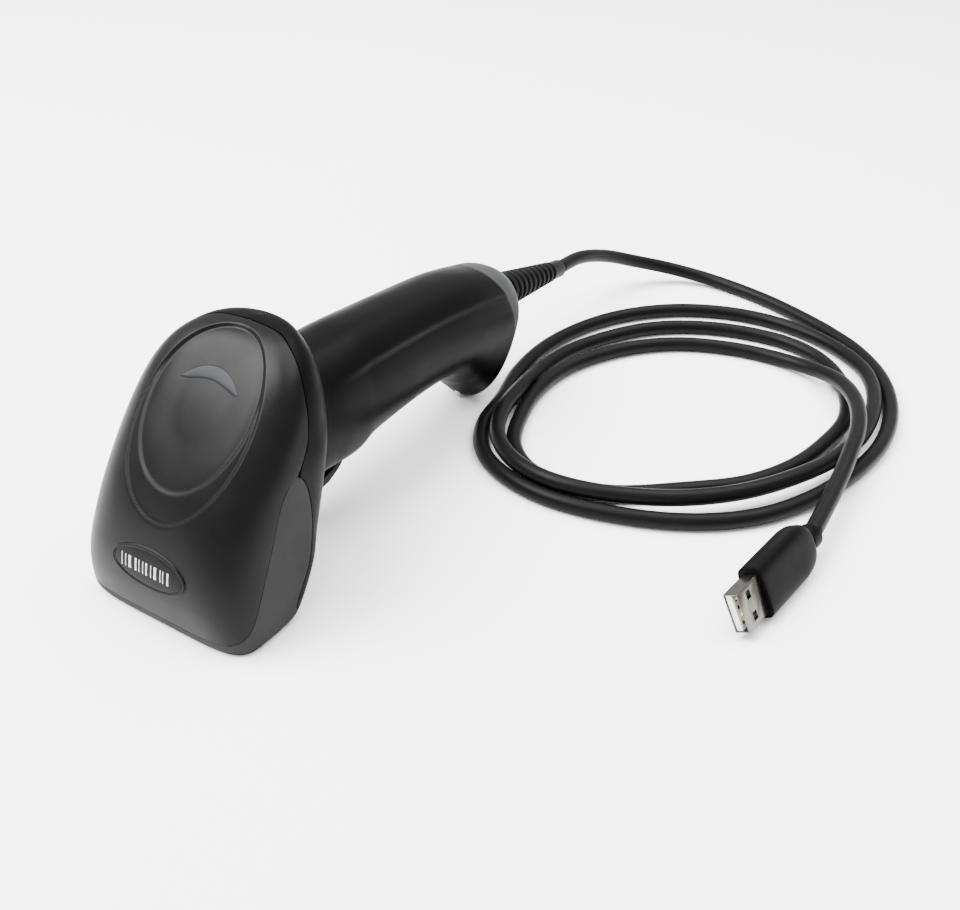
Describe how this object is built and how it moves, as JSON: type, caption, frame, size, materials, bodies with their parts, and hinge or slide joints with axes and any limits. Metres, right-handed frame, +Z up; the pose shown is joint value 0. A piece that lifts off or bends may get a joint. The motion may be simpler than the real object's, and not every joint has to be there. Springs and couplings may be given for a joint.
{
  "type": "handheld barcode scanner",
  "caption": "Corded pistol-grip barcode scanner with hooded nose window, crescent status light, pull trigger, two-tone bumper, ribbed strain relief and coiled lead with a flat data plug.",
  "frame": {"origin": "on the table under the middle of the scanner, taken without its free cord and plug", "axes": "+X from the scan nose towards the cable end, +Y to the user's right when the scanner is held, +Z up from the table the scanner lies on"},
  "size_m": [0.3136, 0.1791, 0.0765],
  "materials": {
    "housing_plastic": "fine moulded texture",
    "cover_plastic": "fine moulded texture",
    "bumper_rubber": "matt overmoulded bumper",
    "cap_plastic": "fine moulded texture",
    "bezel_plastic": "matt",
    "window_acrylic": "polished red filter",
    "badge_plastic": "satin",
    "light_diffuser": "translucent satin",
    "circuit_board": "solder mask",
    "trigger_plastic": "satin",
    "bracket_plastic": "matt",
    "pin_steel": "ground",
    "spring_steel": "drawn wire",
    "component_black": "matt",
    "plunger_plastic": "matt",
    "lens_barrel": "matt",
    "led_lens": "clear",
    "aimer_brass": "turned",
    "flex_film": "polyimide film",
    "clear_plastic": "clear",
    "screw_steel": "zinc plated",
    "cable_rubber": "satin",
    "plug_plastic": "satin",
    "plug_steel": "nickel plated",
    "insulator_plastic": "matt",
    "gold_contact": "gold plated"
  },
  "bodies": {
    "scanner": {"main_housing": "housing_plastic", "top_cover": "cover_plastic", "nose_bumper": "bumper_rubber", "nose_bezel": "bezel_plastic", "scan_window": "window_acrylic", "badge_plate": "badge_plastic", "light_pipe": "light_diffuser", "status_board": "circuit_board", "end_cap": "cap_plastic", "trigger_bracket": "bracket_plastic", "trigger_pin": "pin_steel", "trigger_spring": "spring_steel", "trigger_switch": "component_black", "main_board": "circuit_board", "board_chips": "component_black", "beeper": "component_black", "imager_bracket": "bezel_plastic", "imager_board": "circuit_board", "imager_lens": "lens_barrel", "illumination_leds": "led_lens", "aimer": "aimer_brass", "flex_cable": "flex_film", "cable_socket": "component_black", "cable_plug": "clear_plastic", "cable_tail": "cable_rubber", "cover_screws": "screw_steel", "cap_screw": "screw_steel", "strain_relief": "cable_rubber", "cord": "cable_rubber", "usb_overmould": "plug_plastic", "usb_shell": "plug_steel", "usb_insulator": "insulator_plastic", "usb_contacts": "gold_contact"},
    "trigger": {"trigger": "trigger_plastic"},
    "plunger": {"switch_plunger": "plunger_plastic"}
  },
  "joints": [
    {"name": "trigger_pull", "type": "hinge", "parent": "scanner", "child": "trigger", "pos_m": [-0.06144, 0, 0.028], "axis": [0, -1, 0], "range_deg": [0, 4.5], "stiffness_Nm_per_rad": 0.6, "springref_deg": -4.58, "deforming": ["trigger_spring"]},
    {"name": "plunger_press", "type": "slide", "parent": "scanner", "child": "plunger", "axis": [0, 0, 1], "range_m": [0, 0.002], "stiffness_N_per_m": 120}
  ],
  "couplings": [
    {"joint": "plunger_press", "follows": "trigger_pull", "m_per_rad": 0.022}
  ]
}
